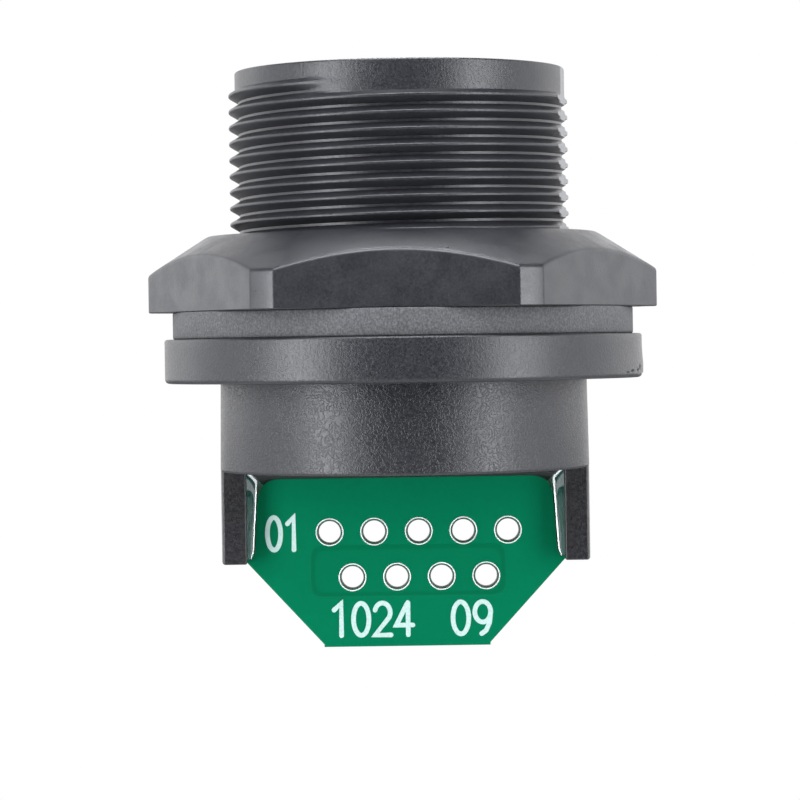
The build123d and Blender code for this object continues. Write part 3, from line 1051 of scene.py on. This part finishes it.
def soft_boxes():
    """Soft boxes on both sides, and one above at the front and one at the back."""
    area_lamp("key_left", -50, 0, 0.5, (0.2, 0.6), lamp_power * 1.9)
    area_lamp("key_right", 54, 0, 0.5, (0.2, 0.6), lamp_power * 1.6)
    area_lamp("fill_left", -86, 0, 0.5, (0.22, 0.5), lamp_power * 0.32)
    area_lamp("fill_right", 88, 0, 0.5, (0.22, 0.5), lamp_power * 0.3)
    area_lamp("side_left", -118, 5, 0.5, (0.3, 0.5), lamp_power * 0.24)
    area_lamp("side_right", 118, 5, 0.5, (0.3, 0.5), lamp_power * 0.18)
    area_lamp("top_front", 0, 62, 0.55, (0.5, 0.3), lamp_power * 2.4)
    area_lamp("top_back", 180, 68, 0.55, (0.18, 0.24), lamp_power * 1.6)


def pale_floor():
    """A floor that is white to the camera and a matt grey to the light."""
    signs = ((-1, -1), (1, -1), (1, 1), (-1, 1))
    corners = [(x * floor_half, y * floor_half, floor_z) for x, y in signs]
    floor = mesh_object("floor", corners, [(0, 1, 2, 3)])
    material = bpy.data.materials.new("floor_white")
    material.use_nodes = True
    tree = material.node_tree
    diffuse = tree.nodes["Principled BSDF"]
    diffuse.inputs["Base Color"].default_value = (0.5, 0.5, 0.5, 1)
    diffuse.inputs["Roughness"].default_value = 0.9
    glow = tree.nodes.new("ShaderNodeEmission")
    glow.inputs["Strength"].default_value = 1.0
    path = tree.nodes.new("ShaderNodeLightPath")
    choose = tree.nodes.new("ShaderNodeMixShader")
    tree.links.new(path.outputs["Is Camera Ray"], choose.inputs["Fac"])
    tree.links.new(diffuse.outputs[0], choose.inputs[1])
    tree.links.new(glow.outputs[0], choose.inputs[2])
    tree.links.new(choose.outputs[0], tree.nodes["Material Output"].inputs["Surface"])
    dress(floor, material)


place_camera()

plastic = grained_plastic(
    "housing_plastic_look",
    (0.007, 0.0073, 0.009),
    (0.02, 0.0206, 0.0245),
    relief_mm=0.02,
    curl_relief_mm=0.017,
    streaks_and_painted_light=True,
)
nut_look = grained_plastic(
    "nut_plastic_look",
    (0.012, 0.0124, 0.0149),
    (0.0185, 0.019, 0.0227),
    spread=0.05,
    mottle=0.045,
    relief_mm=0.016,
)
# The arms are of the housing's plastic. Their darker colours are painted shade.
arm_painted_shade = grained_plastic("arm_plastic_painted_shade_look", (0.003, 0.003, 0.004), (0.016, 0.016, 0.018), 0.42)
black_plastic = grained_plastic("jack_plastic_look", (0.008, 0.008, 0.008), (0.016, 0.016, 0.016), 0.35)

shell = make_shell()
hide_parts("housing")
core = make_core()
arms = [make_arm(1), make_arm(-1)]
for piece in (shell, core, *arms):
    dress(piece, arm_painted_shade if piece in arms else plastic)
    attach(piece, "connector")

nut = make_nut()
dress(nut, nut_look)
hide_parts("lock_nut")
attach(nut, "nut")

gasket = make_gasket()
dress(gasket, rubber("gasket_look"))
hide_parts("panel_gasket")
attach(gasket, "connector")

gold = metal("contact_gold_look", (0.75, 0.5, 0.18), (0.9, 0.66, 0.28), 0.22)
tin = metal("tin_look", (0.6, 0.6, 0.58), (0.8, 0.8, 0.78), 0.3)
steel = metal("shield_look", (0.5, 0.5, 0.49), (0.66, 0.66, 0.65), 0.3)
dress(nodes["solder_board"], solder_mask("board_look"))
dress(nodes["jack_body"], black_plastic)
dress(nodes["contact_block"], black_plastic)
dress(nodes["jack_shield"], steel)
dress(nodes["tail_solder"], tin)
for name, node in nodes.items():
    if name.startswith("contact_") and name != "contact_block":
        dress(node, gold)

ink = white_ink("ink_look")
for number in board_numbers:
    for piece in make_number(*number):
        dress(piece, ink)
        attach(piece, "connector")

# The throat's tin is coloured dark: painted shade for the shade inside the hole.
painted_shade_tin = metal("throat_painted_shade_look", (0.05, 0.045, 0.045), (0.1, 0.09, 0.09), 0.5, metallic=0.3)
pad_tin = metal("pad_look", (0.56, 0.58, 0.58), (0.68, 0.69, 0.69), 0.5, grain_mm=1.0, metallic=0.1)
for name, node in nodes.items():
    if not name.startswith("plated_hole_"):
        continue
    low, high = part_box(name)
    centre = (low + high) / 2 / MM
    piece = make_hole_ring(name + "_ring", centre.x, centre.z)
    piece.data.materials.append(pad_tin)
    piece.data.materials.append(painted_shade_tin)
    for face in piece.data.polygons:
        middle = face.center / MM
        away = math.hypot(middle.x - centre.x, middle.z - centre.z)
        face.material_index = int(away < hole_throat_radius)
    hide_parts(name)
    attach(piece, "connector")

clear = resin("resin_look", (0.9, 0.97, 0.93), 0.0)
meniscus, disc, looks = make_resin()
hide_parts("potting")
for piece in (meniscus, disc):
    dress(piece, clear)
    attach(piece, "connector")
# A dark copy of the resin for the rows between the arms: painted shade.
meniscus.data.materials.append(resin("resin_painted_shade_look", (0.02, 0.03, 0.03), 0.3, 0.1))
# A milky green copy of the resin beside the arms: painted light for the board that is seen through the
# resin where the arms shade it.
meniscus.data.materials.append(resin("resin_strip_painted_light_look", (0.05, 0.18, 0.15), 0.25, 0.55))
for face, index in zip(meniscus.data.polygons, looks):
    face.material_index = index

white_world()
soft_boxes()
pale_floor()

scene = bpy.context.scene
scene.view_settings.view_transform = "Standard"
low, high = cad_bounds
